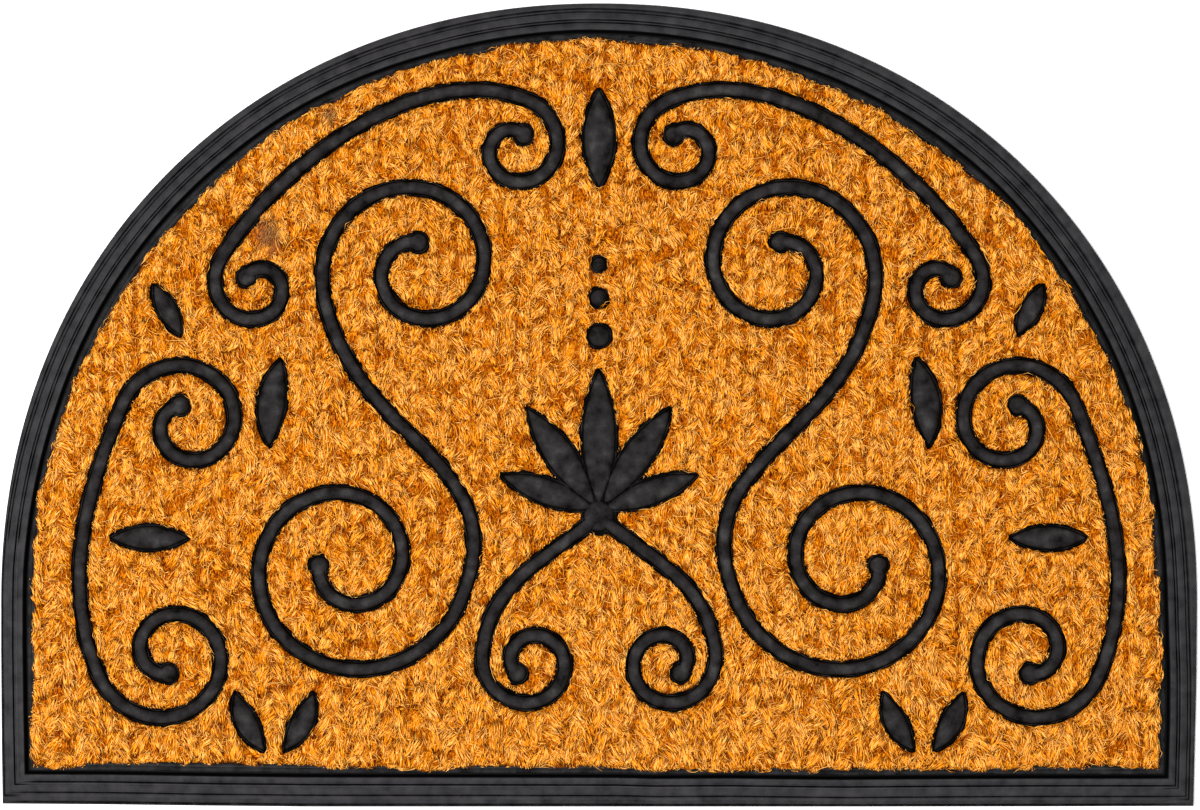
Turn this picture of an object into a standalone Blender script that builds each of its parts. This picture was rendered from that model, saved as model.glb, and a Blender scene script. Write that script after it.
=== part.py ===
"""A half round doormat, in metres, +Z up.

One black rubber moulding has a ribbed border, a floor, and scrollwork that stands up from the floor.
One panel of coir lies on the floor inside the border, and the scrollwork comes up through slots in it.
The origin is under the middle of the mat's bounding box, the straight edge faces -Y, and the mat lies
flat. Outlines are worked out as (x, up) pairs, where up is measured from the straight edge.
"""

import math
from collections import namedtuple

import bmesh
import bpy
import numpy as np

# The mat's outline: straight sides under an arch that is a little fuller than a half circle.
HALF_WIDTH = 0.300
SIDE_HEIGHT = 0.103
ARCH_RISE = 0.300
ARCH_POWER = 2.1
ARCH_STEPS = 56
DEPTH = SIDE_HEIGHT + ARCH_RISE

# Heights above the ground.
FLOOR_TOP = 0.0025
COIR_TOP = 0.0095
SLOT_TOP = 0.0120

# The border's section. Each row is a point on it: how far in from the mat's edge, and how high.
SectionPoint = namedtuple("SectionPoint", "inset height")
OUTER_WALL = 0.0019
BORDER_SECTION = (
    SectionPoint(0.0005, 0.0026),
    SectionPoint(0.0018, 0.0029),
    SectionPoint(0.0021, 0.0022),
    SectionPoint(0.0024, 0.0036),
    SectionPoint(0.0032, 0.0038),
    SectionPoint(0.0035, 0.0031),
    SectionPoint(0.0038, 0.0044),
    SectionPoint(0.0076, 0.0049),
    SectionPoint(0.0079, 0.0041),
    SectionPoint(0.0082, 0.0056),
    SectionPoint(0.0090, 0.0058),
    SectionPoint(0.0093, 0.0050),
    SectionPoint(0.0096, 0.0064),
    SectionPoint(0.0134, 0.0070),
    SectionPoint(0.0140, 0.0064),
    SectionPoint(0.0143, FLOOR_TOP),
)

# The coir's edge wanders a little beside the gutter inside the border. Each row is one wave of it.
COIR_INSET = 0.0182
COIR_EDGE_STEP = 0.018
EdgeWave = namedtuple("EdgeWave", "rounds depth start")
COIR_EDGE_WAVES = (
    EdgeWave(5, 0.0006, 0.4),
    EdgeWave(13, 0.0006, 1.9),
    EdgeWave(31, 0.0005, 2.6),
)

# Raised work: the foot is sunk in the floor, and the shoulder and crest are above the ground. Each
# piece's crest is a hair off the last one's, by a step, so that no two faces coincide.
FOOT = 0.0012
SHOULDER = 0.0052
CREST = 0.0086
CREST_STEP = 0.00008
BEAD_HALF = 0.0040
BEAD_ROUNDING = (0.0023, 0.0078)
SLOT_GAP = 0.0003

# How finely the raised work is drawn.
LONGEST_STEP = 0.013
WIDEST_TURN = math.radians(26)
FINE_STEPS = 240
SPIRAL_GROWTH = 1.15

# Scrolls are two volutes with a sweep between them, and each is mirrored to the other side.
# A volute runs out from its eye to its rim, and leaves at an angle in degrees. sense 1 is anticlockwise.
Volute = namedtuple("Volute", "x up eye rim leaves turns sense")
Scroll = namedtuple("Scroll", "name first last pull")
SCROLLS = (
    Scroll(
        "lyre",
        Volute(0.126, 0.122, 0.014, 0.060, 195, 1.45, -1),
        Volute(0.090, 0.270, 0.013, 0.050, -20, 1.30, -1),
        0.45,
    ),
    Scroll(
        "flank",
        Volute(0.215, 0.077, 0.010, 0.037, -15, 1.20, 1),
        Volute(0.206, 0.192, 0.010, 0.034, 15, 1.15, -1),
        0.36,
    ),
    Scroll(
        "crest",
        Volute(0.042, 0.330, 0.008, 0.025, 105, 1.05, -1),
        Volute(0.171, 0.261, 0.007, 0.023, 40, 1.00, 1),
        0.33,
    ),
)

# The spade's two halves each run from a volute up to the root of the palmette.
SPADE = Volute(0.034, 0.073, 0.009, 0.025, 15, 1.15, 1)
SPADE_ARRIVES = 140
SPADE_PULL = 0.40
ROOT_UP = 0.146

# Solid leaves. points is the direction in degrees, and bend how far the spine turns on its way.
Leaf = namedtuple("Leaf", "name x up points length width bend")
LEAVES = (
    Leaf("palmette_middle", 0.0, ROOT_UP + 0.004, 90, 0.070, 0.018, 0),
    Leaf("palmette_inner", 0.001, ROOT_UP + 0.004, 55, 0.062, 0.016, 0),
    Leaf("palmette_outer", 0.001, ROOT_UP + 0.003, 20, 0.052, 0.014, 0),
    Leaf("crown", 0.0, 0.310, 90, 0.050, 0.017, 0),
    Leaf("foot_inner", 0.158, 0.028, 117, 0.034, 0.012, -25),
    Leaf("foot_outer", 0.167, 0.028, 63, 0.034, 0.012, 25),
    Leaf("waist", 0.165, 0.180, 98, 0.046, 0.015, 20),
    Leaf("side", 0.245, 0.135, 180, 0.040, 0.013, 0),
    Leaf("shoulder", 0.209, 0.236, 62, 0.030, 0.011, 0),
)
LEAF_STEPS = 8
LEAF_FULLNESS = (1.0, 0.85)
LEAF_TIP = 0.0004
LEAF_CREST = 0.0084

# Round bosses: a stack of beads on the middle line, the palmette's root, and one on every volute's eye.
Boss = namedtuple("Boss", "x up radius")
BOSSES = (
    Boss(0.0, ROOT_UP, 0.0090),
    Boss(0.0, 0.236, 0.0065),
    Boss(0.0, 0.255, 0.0055),
    Boss(0.0, 0.272, 0.0045),
)
EYE_RADIUS = 0.0056
BOSS_STEPS = 12
BOSS_CREST = 0.0085
BOSS_STEP = 0.00003
BOSS_CROWN_SHARE = 0.62
BOSS_CROWN_FALL = 0.0005

MERGE = 0.00002
SMOOTH_BELOW = math.radians(35)


def arch(inset):
    """The superellipse arch from its right foot to its left, each point moved in along its normal."""
    turn = np.linspace(0, math.pi, ARCH_STEPS + 1)
    side = np.sign(np.cos(turn))
    across, rise = np.abs(np.cos(turn)), np.abs(np.sin(turn))
    x = HALF_WIDTH * side * across ** (2 / ARCH_POWER)
    up = SIDE_HEIGHT + ARCH_RISE * rise ** (2 / ARCH_POWER)
    normal = np.stack([side * across ** (2 - 2 / ARCH_POWER), rise ** (2 - 2 / ARCH_POWER)], axis=1)
    normal /= np.linalg.norm(normal, axis=1, keepdims=True)
    return np.stack([x, up], axis=1) - inset * normal


def outline(inset):
    """The whole outline, anticlockwise: the arch, then the two square corners of the straight edge."""
    corners = [(-HALF_WIDTH + inset, inset), (HALF_WIDTH - inset, inset)]
    return np.concatenate([arch(inset), corners])


def heading(degrees):
    return np.array([math.cos(math.radians(degrees)), math.sin(math.radians(degrees))])


def unit(vector):
    return vector / np.linalg.norm(vector)


def spiral(volute):
    """Close points from the volute's eye to its rim, on a radius that grows as a power of the way out."""
    way = np.linspace(0, 1, FINE_STEPS + 1)
    angle = math.radians(volute.leaves) - volute.sense * math.tau * volute.turns * (1 - way)
    radius = volute.eye + (volute.rim - volute.eye) * way**SPIRAL_GROWTH
    return np.stack([volute.x + radius * np.cos(angle), volute.up + radius * np.sin(angle)], axis=1)


def sweep_between(start, start_heading, end, end_heading, pull):
    """Close points on a cubic Bezier between two points, whose handles are a share of the gap long."""
    reach = np.linalg.norm(end - start) * pull
    handles = (start + start_heading * reach, end - end_heading * reach)
    t = np.linspace(0, 1, FINE_STEPS + 1)[:, None]
    near_start = (1 - t) ** 3 * start + 3 * t * (1 - t) ** 2 * handles[0]
    return near_start + 3 * t**2 * (1 - t) * handles[1] + t**3 * end


def thinned(fine):
    """Every step of the line is about LONGEST_STEP long, or turns by about WIDEST_TURN where that is less."""
    steps = np.diff(fine, axis=0)
    turns = np.abs(np.gradient(np.unwrap(np.arctan2(steps[:, 1], steps[:, 0]))))
    shares = np.maximum(np.linalg.norm(steps, axis=1) / LONGEST_STEP, turns / WIDEST_TURN)
    way = np.concatenate([[0.0], np.cumsum(shares)])
    wanted = np.linspace(0, way[-1], math.ceil(way[-1]) + 1)
    return np.stack([np.interp(wanted, way, fine[:, axis]) for axis in (0, 1)], axis=1)


def scroll_line(scroll):
    first, last = spiral(scroll.first), spiral(scroll.last)[::-1]
    leaving, arriving = unit(first[-1] - first[-2]), unit(last[1] - last[0])
    between = sweep_between(first[-1], leaving, last[0], arriving, scroll.pull)
    return thinned(np.concatenate([first, between[1:-1], last]))


def spade_line():
    volute = spiral(SPADE)
    root = np.array([0.0, ROOT_UP])
    leaving = unit(volute[-1] - volute[-2])
    between = sweep_between(volute[-1], leaving, root, heading(SPADE_ARRIVES), SPADE_PULL)
    return thinned(np.concatenate([volute, between[1:]]))


def leaf_spine(leaf):
    """The leaf's middle line, its unit normals, and its half width, a sine that is fuller at the root."""
    way = np.linspace(0, 1, LEAF_STEPS + 1)
    angle = np.radians(leaf.points + leaf.bend * (way - 0.5))
    along = np.stack([np.cos(angle), np.sin(angle)], axis=1)
    steps = (along[1:] + along[:-1]) / 2 * leaf.length / LEAF_STEPS
    line = np.array([leaf.x, leaf.up]) + np.concatenate([[(0.0, 0.0)], np.cumsum(steps, axis=0)])
    towards_tip, roundness = LEAF_FULLNESS
    half = leaf.width / 2 * np.sin(math.pi * way**towards_tip).clip(0) ** roundness + LEAF_TIP
    across = np.stack([-along[:, 1], along[:, 0]], axis=1)
    return line, across, along, half


def on_both_sides(x):
    return (1,) if x == 0 else (1, -1)


def placed(points, height=0.0):
    """(x, up) pairs as places in the mat's frame, whose origin is under the middle."""
    return [(float(x), float(up) - DEPTH / 2, height) for x, up in points]


def clear_scene():
    for obj in list(bpy.data.objects):
        bpy.data.objects.remove(obj, do_unlink=True)


def new_collection(name):
    collection = bpy.data.collections.new(name)
    bpy.context.scene.collection.children.link(collection)
    return collection


def plain_material(name, colour, roughness):
    material = bpy.data.materials.new(name)
    material.use_nodes = True
    shader = material.node_tree.nodes["Principled BSDF"]
    shader.inputs["Base Color"].default_value = (*colour, 1.0)
    shader.inputs["Roughness"].default_value = roughness
    shader.inputs["Metallic"].default_value = 0.0
    return material


def add_object(name, data, collection, material=None):
    obj = bpy.data.objects.new(name, data)
    collection.objects.link(obj)
    if material:
        data.materials.append(material)
    return obj


def helper(obj):
    """A guide or a cutter, which is not a piece of the mat."""
    obj.hide_render = True
    obj.display_type = "WIRE"
    return obj


def mesh_from(bm, name):
    bmesh.ops.recalc_face_normals(bm, faces=bm.faces)
    mesh = bpy.data.meshes.new(name)
    bm.to_mesh(mesh)
    bm.free()
    mesh.shade_smooth()
    mesh.set_sharp_from_angle(angle=SMOOTH_BELOW)
    return mesh


def plate(points, name):
    """A flat face with the given corners, and the same face again where the solid's top starts."""
    bm = bmesh.new()
    bottom = bm.faces.new([bm.verts.new(point) for point in points])
    raised = bmesh.ops.extrude_face_region(bm, geom=[bottom], use_keep_orig=True)["geom"]
    top = next(face for face in raised if isinstance(face, bmesh.types.BMFace))
    return bm, top


def border_and_floor(collection, material):
    """The outline is raised to the outer wall's top, then inset and raised again for each section point."""
    bm, top = plate(placed(outline(0)), "moulding")
    bmesh.ops.translate(bm, verts=top.verts[:], vec=(0, 0, OUTER_WALL))
    inset, height = 0.0, OUTER_WALL
    for point in BORDER_SECTION:
        step_in, step_up = point.inset - inset, point.height - height
        bmesh.ops.inset_region(bm, faces=[top], thickness=step_in, depth=step_up, use_even_offset=True)
        inset, height = point.inset, point.height
    return add_object("rubber_moulding", mesh_from(bm, "rubber_moulding"), collection, material)


def with_long_edges_split(loop, longest):
    pieces = []
    for start, end in zip(loop, np.roll(loop, -1, axis=0)):
        count = math.ceil(np.linalg.norm(end - start) / longest)
        pieces.append(start + (end - start) * np.linspace(0, 1, count, endpoint=False)[:, None])
    return np.concatenate(pieces)


def coir_outline():
    """The coir's edge: the outline inside the gutter, moved in and out by the sum of the edge waves."""
    inside = with_long_edges_split(outline(COIR_INSET), COIR_EDGE_STEP)
    steps = np.linalg.norm(np.diff(inside, axis=0, append=inside[:1]), axis=1)
    way = np.concatenate([[0.0], np.cumsum(steps)[:-1]]) / steps.sum()
    wander = sum(wave.depth * np.sin(math.tau * wave.rounds * way + wave.start) for wave in COIR_EDGE_WAVES)
    tangent = np.roll(inside, -1, axis=0) - np.roll(inside, 1, axis=0)
    tangent /= np.linalg.norm(tangent, axis=1, keepdims=True)
    inward = np.stack([-tangent[:, 1], tangent[:, 0]], axis=1)
    return inside + inward * wander[:, None]


def coir_panel(collection, material):
    bm, top = plate(placed(coir_outline(), FLOOR_TOP + SLOT_GAP), "coir")
    bmesh.ops.translate(bm, verts=top.verts[:], vec=(0, 0, COIR_TOP - FLOOR_TOP - SLOT_GAP))
    return add_object("coir_panel", mesh_from(bm, "coir_panel"), collection, material)


def section_curve(name, corners, guides):
    """A closed flat curve that a bead is swept from."""
    curve = bpy.data.curves.new(name, "CURVE")
    curve.dimensions = "2D"
    spline = curve.splines.new("POLY")
    spline.points.add(len(corners) - 1)
    for point, (across, height) in zip(spline.points, corners):
        point.co = (across, height, 0.0, 1.0)
    spline.use_cyclic_u = True
    return helper(add_object(name, curve, guides))


def swept(name, line, section, collection):
    """The section carried along a level line, as a closed mesh."""
    curve = bpy.data.curves.new(name, "CURVE")
    curve.dimensions = "3D"
    curve.twist_mode = "Z_UP"
    curve.bevel_mode = "OBJECT"
    curve.bevel_object = section
    curve.use_fill_caps = True
    spline = curve.splines.new("POLY")
    spline.points.add(len(line) - 1)
    for point, place in zip(spline.points, placed(line)):
        point.co = (*place, 1.0)
    path = add_object(name + "_path", curve, collection)
    bpy.context.view_layer.update()
    mesh = bpy.data.meshes.new_from_object(path.evaluated_get(bpy.context.evaluated_depsgraph_get()))
    bpy.data.objects.remove(path, do_unlink=True)
    bm = bmesh.new()
    bm.from_mesh(mesh)
    bmesh.ops.remove_doubles(bm, verts=bm.verts, dist=MERGE)
    bpy.data.meshes.remove(mesh)
    return helper(add_object(name, mesh_from(bm, name), collection))


def leaf_solid(name, leaf, side, heights, grow, collection):
    """A loft of five point sections along the leaf's spine. heights are its foot, edge and crest."""
    line, across, along, half = leaf_spine(leaf)
    line = line.copy()
    line[0] -= along[0] * grow
    line[-1] += along[-1] * grow
    half = half + grow
    foot, edge, crest = heights
    section = ((1, foot), (1, edge), (0, crest), (-1, edge), (-1, foot))
    bm = bmesh.new()
    rings = []
    for reach, height in section:
        points = line + across * (half * reach)[:, None]
        rings.append([bm.verts.new(place) for place in placed(points * (side, 1), height)])
    for ring, following in zip(rings, rings[1:] + rings[:1]):
        for i in range(len(ring) - 1):
            bm.faces.new((ring[i], ring[i + 1], following[i + 1], following[i]))
    for end in (0, -1):
        bm.faces.new([ring[end] for ring in rings])
    return helper(add_object(name, mesh_from(bm, name), collection))


def boss_solid(name, boss, heights, grow, collection):
    """A turned button: its side, its sloping shoulder and its low crown."""
    foot, shoulder, crest = heights
    radius = boss.radius + grow
    crown_edge = (radius * BOSS_CROWN_SHARE, crest - BOSS_CROWN_FALL)
    profile = ((0, crest), crown_edge, (radius, shoulder), (radius, foot), (0, foot))
    mesh = bpy.data.meshes.new(name)
    edges = [(i, i + 1) for i in range(len(profile) - 1)]
    mesh.from_pydata([(x, 0, z) for x, z in profile], edges, [])
    obj = helper(add_object(name, mesh, collection))
    obj.location = placed([(boss.x, boss.up)])[0]
    screw = obj.modifiers.new("Turn", "SCREW")
    screw.steps = screw.render_steps = BOSS_STEPS
    screw.use_merge_vertices = True
    screw.merge_threshold = MERGE
    return obj


def stroke_lines():
    """The name and middle line of every bead, on both sides."""
    lines = {scroll.name: scroll_line(scroll) for scroll in SCROLLS}
    lines["spade"] = spade_line()
    return {
        f"{name}_{'right' if side == 1 else 'left'}": line * (side, 1)
        for name, line in lines.items()
        for side in (1, -1)
    }


def all_bosses(lines):
    """The listed bosses, and one on the end of each bead that ends in an eye."""
    eyes = []
    for name, line in lines.items():
        ends = line[:1] if name.startswith("spade") else line[[0, -1]]
        eyes += [Boss(x, up, EYE_RADIUS) for x, up in ends]
    return list(BOSSES) + eyes


def bead_corners(crest):
    """The bead's section: straight up from its foot, then a low round top."""
    reach, height = BEAD_ROUNDING
    half = ((BEAD_HALF, FOOT), (BEAD_HALF, SHOULDER), (reach, height + crest - CREST))
    return half + ((0.0, crest),) + tuple((-across, z) for across, z in reversed(half))


def raised_work(guides, collection):
    """The scrollwork's solids, which overlap the floor and each other where they meet."""
    lines = stroke_lines()
    for number, (name, line) in enumerate(lines.items()):
        crest = CREST - CREST_STEP * number
        section = section_curve(f"{name}_section", bead_corners(crest), guides)
        swept(name, line, section, collection)
    for number, leaf in enumerate(LEAVES):
        for side in on_both_sides(leaf.x):
            drop = CREST_STEP * (2 * number + (side == 1))
            heights = (FOOT, SHOULDER + drop, LEAF_CREST - drop)
            leaf_solid(f"{leaf.name}_{side}", leaf, side, heights, 0.0, collection)
    for number, boss in enumerate(all_bosses(lines)):
        heights = (FOOT, SHOULDER - BOSS_STEP * number, BOSS_CREST + BOSS_STEP * number)
        boss_solid(f"boss_{number}", boss, heights, 0.0, collection)


def slots(guides, collection):
    """What is cut from the coir: the raised work's plan, grown all round by the slot's gap."""
    lines = stroke_lines()
    half = BEAD_HALF + SLOT_GAP
    box = ((half, 0.0), (half, SLOT_TOP), (-half, SLOT_TOP), (-half, 0.0))
    section = section_curve("slot_section", box, guides)
    for name, line in lines.items():
        first, last = unit(line[0] - line[1]), unit(line[-1] - line[-2])
        longer = np.concatenate([[line[0] + first * SLOT_GAP], line[1:-1], [line[-1] + last * SLOT_GAP]])
        swept(f"{name}_slot", longer, section, collection)
    for leaf in LEAVES:
        for side in on_both_sides(leaf.x):
            heights = (0.0, SLOT_TOP, SLOT_TOP)
            leaf_solid(f"{leaf.name}_{side}_slot", leaf, side, heights, SLOT_GAP, collection)
    for number, boss in enumerate(all_bosses(lines)):
        heights = (0.0, SLOT_TOP, SLOT_TOP + BOSS_CROWN_FALL)
        boss_solid(f"boss_{number}_slot", boss, heights, SLOT_GAP, collection)


def combine(obj, operation, collection):
    modifier = obj.modifiers.new(operation.title(), "BOOLEAN")
    modifier.operation = operation
    modifier.operand_type = "COLLECTION"
    modifier.collection = collection
    modifier.solver = "EXACT"


def main():
    clear_scene()
    mat = new_collection("half_round_doormat")
    guides = new_collection("sections")
    raised = new_collection("raised_scrollwork")
    cut = new_collection("coir_slots")
    rubber = plain_material("black_rubber", (0.030, 0.029, 0.031), 0.55)
    coir = plain_material("golden_coir", (0.60, 0.21, 0.021), 0.90)
    moulding = border_and_floor(mat, rubber)
    raised_work(guides, raised)
    combine(moulding, "UNION", raised)
    panel = coir_panel(mat, coir)
    slots(guides, cut)
    combine(panel, "DIFFERENCE", cut)


main()
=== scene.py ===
"""Looks of a half round doormat: a ribbed black rubber tray with raised scrollwork, filled with coir.

Outlines and lines are worked out as (x, up) pairs in metres, where up is measured from the mat's straight
edge. The row frame's origin is under the middle of the mat, so y is up less half the mat's depth.
"""

import math
from collections import namedtuple

import bpy
import numpy as np
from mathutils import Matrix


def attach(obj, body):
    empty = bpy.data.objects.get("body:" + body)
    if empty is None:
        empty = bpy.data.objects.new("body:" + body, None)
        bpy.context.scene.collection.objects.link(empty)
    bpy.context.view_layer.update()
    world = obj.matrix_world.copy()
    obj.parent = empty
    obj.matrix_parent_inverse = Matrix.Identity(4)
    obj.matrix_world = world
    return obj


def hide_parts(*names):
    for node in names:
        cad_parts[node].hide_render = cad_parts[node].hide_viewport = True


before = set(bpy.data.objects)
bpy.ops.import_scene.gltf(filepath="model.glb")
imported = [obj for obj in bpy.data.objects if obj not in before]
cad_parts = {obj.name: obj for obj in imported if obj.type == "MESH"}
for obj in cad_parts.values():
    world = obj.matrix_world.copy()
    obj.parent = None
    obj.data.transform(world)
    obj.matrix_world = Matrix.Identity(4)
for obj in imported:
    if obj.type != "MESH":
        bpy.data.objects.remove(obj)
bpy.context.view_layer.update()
MM = 0.001

# The outline, as in the solids.
HALF_WIDTH = 0.300
SIDE_HEIGHT = 0.103
ARCH_RISE = 0.300
ARCH_POWER = 2.1
DEPTH = SIDE_HEIGHT + ARCH_RISE
ARCH_STEPS = 220
SIDE_STEPS = 16
BASE_STEPS = 60

# Heights above the ground. A raised part has a low flange, a channel beside its body, and a round crest.
FLOOR_TOP = 0.0025
COIR_TOP = 0.0095
FOOT = 0.0012
FLANGE = 0.0056
CHANNEL = 0.0044
CREST = 0.0086
# The heights of a raised part's foot, its side, its flange and the flange's inner edge.
RIM_HEIGHTS = (FOOT, FLANGE - 0.0004, FLANGE, FLANGE - 0.0002)
EDGE_ROUND = 0.0003
CHANNEL_WALL = 0.0001
# Painted shade on raised rubber by its height: black up to its channel, dimmer on its flange, none on its
# body.
CHANNEL_SHADE = ((0.0044, -1.2), (0.0050, -1.1), (0.0056, -0.30), (0.0064, 0.0))

# The border's section, as insets and heights: a wall, a slope from the lip to the inner rim, less narrow
# grooves, a step down, and a gutter with a low ridge at the coir's edge.
WALL_TOP = 0.0018
LIP = (0.0006, 0.0027)
RIM = (0.0137, 0.0068)
RIM_FOOT = 0.0145
WALL_ROWS = ((0.0004, 0.0), (0.0, 0.0004), (0.0, WALL_TOP), (0.0002, 0.0024))
STEP_ROWS = ((0.0140, 0.0067), (0.0143, 0.0062), (RIM_FOOT, 0.0030))
SLOPE_ROWS = 7
GUTTER_START = RIM_FOOT + 0.0002
GUTTER_END = 0.0200
GUTTER_ROWS = 12
GUTTER_LIP = 0.0168
GUTTER_LIP_HEIGHT = 0.0006
GUTTER_LIP_WIDTH = 0.0004
# One groove of each pair is left out along the base, and the other on the left side, as on the mat.
Groove = namedtuple("Groove", "inset on_arch on_base on_left")
GROOVES = (
    Groove(0.0008, 0.15, 1.0, 0.15),
    Groove(0.0029, 0.75, 0.0, 1.0),
    Groove(0.0045, 0.75, 1.0, 0.0),
    Groove(0.0086, 0.65, 0.0, 1.0),
    Groove(0.0100, 0.80, 1.0, 0.0),
)
GROOVE_WIDTH = 0.00034
GROOVE_DEPTH = 0.0019
# How much painted shade darkens a groove at its middle.
GROOVE_SHADE = 0.55
# Where the rows of points near a groove lie, in groove widths from its middle.
GROOVE_ROWS = (-1.6, -1.2, -0.95, -0.7, 0.0, 0.7, 0.95, 1.2, 1.6)
# The share of the arch, from its right foot, after which the grooves are those of the left side.
LEFT_SIDE_FROM = 0.97
# Painted shade on the border by inset: black at the foot of the rim, and dark in the gutter and on the
# floor.
SHADE = (
    (0.0135, 0.0), (0.0139, -1.3), (0.0148, -1.3),
    (0.0157, -0.28), (0.0190, -0.22), (0.0200, -0.8),
)

# The ribs aren't quite parallel to the trimmed edge. Each row is a direction in degrees from DRIFT_MIDDLE
# and the move there in x and up, in millimetres: one table for the edge, one for ribs, gutter and coir.
DRIFT_MIDDLE = (0.0, 0.12)
EDGE_DRIFT = (
    (188, 0, 0), (196, 0.3, 0.7), (201.8, 0.8, 1.5), (205, 0.6, 1.2), (211, 0.2, 0.5), (219, 0, 0),
    (317, 0, 0), (332, -1.0, 0.1), (338.2, -1.8, 0.3), (344, -1.0, 0.2), (349, -0.3, 0), (355, 0, 0),
)
RIB_DRIFT = (
    (0, -2.0, 0.0), (20, -2.8, -1.0), (28, -2.9, -1.5), (36, -2.4, -1.8), (44, -1.6, -1.6),
    (60, -1.0, -1.8), (68, -0.7, -1.8), (76, -0.3, -1.3), (92, 0.0, 0.1), (108, 0.3, -1.1),
    (124, 0.3, -0.4), (132, 0.6, -0.6), (156, 0.1, 0.0), (164, -0.1, 0.0), (172, -1.0, 0.1),
    (180, -2.0, 0.3), (188, -2.1, 1.0), (196, -1.6, 2.2), (201.8, -1.0, 3.0), (205, -1.0, 2.9),
    (211, -1.0, 2.0), (219, -1.0, 1.5), (276, -1.1, 1.3), (284, -1.1, 0.8), (300, -1.1, 1.0),
    (317, -1.2, 0.3), (332, -1.3, 0.9), (338.2, -1.4, 0.9), (344, -0.6, 0.7), (349, -0.5, 0.6),
    (355, -1.4, 0.3), (360, -2.0, 0.0),
)
# The insets between which the move passes from the trimmed edge's to the ribs'.
DRIFT_FROM = (0.0003, 0.0029)

# The scrollwork's lines, as in the solids.
Volute = namedtuple("Volute", "x up eye rim leaves turns sense")
Scroll = namedtuple("Scroll", "name first last pull")
SCROLLS = (
    Scroll(
        "lyre",
        Volute(0.126, 0.122, 0.014, 0.060, 195, 1.45, -1),
        Volute(0.090, 0.270, 0.013, 0.050, -20, 1.30, -1),
        0.45,
    ),
    Scroll(
        "flank",
        Volute(0.215, 0.077, 0.010, 0.037, -15, 1.20, 1),
        Volute(0.206, 0.192, 0.010, 0.034, 15, 1.15, -1),
        0.36,
    ),
    Scroll(
        "crest",
        Volute(0.042, 0.330, 0.008, 0.025, 105, 1.05, -1),
        Volute(0.171, 0.261, 0.007, 0.023, 40, 1.00, 1),
        0.33,
    ),
)
SPADE = Volute(0.034, 0.073, 0.009, 0.025, 15, 1.15, 1)
SPADE_ARRIVES = 140
SPADE_PULL = 0.40
ROOT_UP = 0.146
SPIRAL_GROWTH = 1.15
FINE_STEPS = 240
BEAD_STEP = 0.0020
BEAD_HALF = 0.0040
BEAD_ROUND = 0.0029
BEAD_FLANGE = 0.0005
BEAD_FULLNESS = 0.74
BEAD_QUARTER_STEPS = 7
FLANGE_WANDER = 0.0002
FLANGE_WANDER_STEPS = 2.5

Leaf = namedtuple("Leaf", "name x up points length width bend")
LEAVES = (
    Leaf("palmette_middle", 0.0, ROOT_UP + 0.004, 90, 0.070, 0.018, 0),
    Leaf("palmette_inner", 0.001, ROOT_UP + 0.004, 55, 0.062, 0.016, 0),
    Leaf("palmette_outer", 0.001, ROOT_UP + 0.003, 20, 0.052, 0.014, 0),
    Leaf("crown", 0.0, 0.310, 90, 0.050, 0.017, 0),
    Leaf("foot_inner", 0.158, 0.028, 117, 0.034, 0.012, -25),
    Leaf("foot_outer", 0.167, 0.028, 63, 0.034, 0.012, 25),
    Leaf("waist", 0.165, 0.180, 98, 0.046, 0.015, 20),
    Leaf("side", 0.245, 0.135, 180, 0.040, 0.013, 0),
    Leaf("shoulder", 0.209, 0.236, 62, 0.030, 0.011, 0),
)
LEAF_STEPS = 30
LEAF_ACROSS = 16
LEAF_FULLNESS = (1.0, 0.85)
LEAF_TIP = 0.0004
LEAF_CREST = 0.0084
LEAF_RIM = 0.0010
# How much of a thin leaf's half width its body keeps at least, and how much of the rim is its rounded edge.
LEAF_BODY_SHARE = 0.35
LEAF_EDGE_SHARE = 0.25
# The body's half width that reaches the full crest, and the power by which thinner places are lower.
LEAF_FULL_HALF = 0.0045
LEAF_RISE_POWER = 0.6
LEAF_CREASE_DEPTH = 0.04
LEAF_CREASE_WIDTH = 0.16

Boss = namedtuple("Boss", "x up radius")
BOSSES = (
    Boss(0.0, ROOT_UP, 0.0090),
    Boss(0.0, 0.236, 0.0065),
    Boss(0.0, 0.255, 0.0055),
    Boss(0.0, 0.272, 0.0045),
)
EYE_RADIUS = 0.0056
BOSS_CREST = 0.0090
BOSS_SIDES = 30
BOSS_RINGS = 8
# The dome's smallest ring, as a share of its radius.
BOSS_INNERMOST = 0.03

# The coir. Its locks stand in staggered rows, and each holds bristles that rise from its root and fan out.
SEED = 20261
COIR_INSET = 0.0190
MAP_STEP = 0.0005
MAP_LOW = (-0.2900, 0.0120)
MAP_SIZE = (1161, 761)
# The coir lies this far from the rubber. Further off than SLOT_REACH, a slot counts as FAR_FROM_SLOTS away.
SLOT_GAP = 0.0003
FAR_FROM_SLOTS = 0.05
SLOT_REACH = 0.006
BED_X = (-0.2840, 0.2841)
BED_UP = (0.0160, 0.3881)
BED_STEP = 0.0030
BED_DROP = 0.0027
BED_SLIDES = 3
BED_SLIDE = 0.8
EDGE_DROP = 0.0008
EDGE_DROP_WIDTH = 0.0012
LOCK_RISE = 0.0009
EdgeWave = namedtuple("EdgeWave", "length depth")
# The outer edge's slow waves. Each blends EDGE_LEVELS random levels along the edge.
COIR_EDGE_WAVES = (EdgeWave(0.060, 0.5 * MM), EdgeWave(0.023, 0.5 * MM), EdgeWave(0.009, 0.5 * MM))
EDGE_LEVELS = 4000
LOCK_PITCH = (0.0076, 0.0094)
LOCK_HALF = (0.0025, 0.0064)
LOCK_JITTER = (0.0011, 0.0020)
LOCK_SIZES = (0.75, 1.30)
LOCK_UNEVEN = 0.0003
LOCK_LEAN = 22
LOCK_STRAY = 11
LOCK_CURL = 15
LOCK_FAN = 8
CROSS_LEAN = 62
CROSS_STRAY = 14
BRISTLE_PIECES = 4

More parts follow.
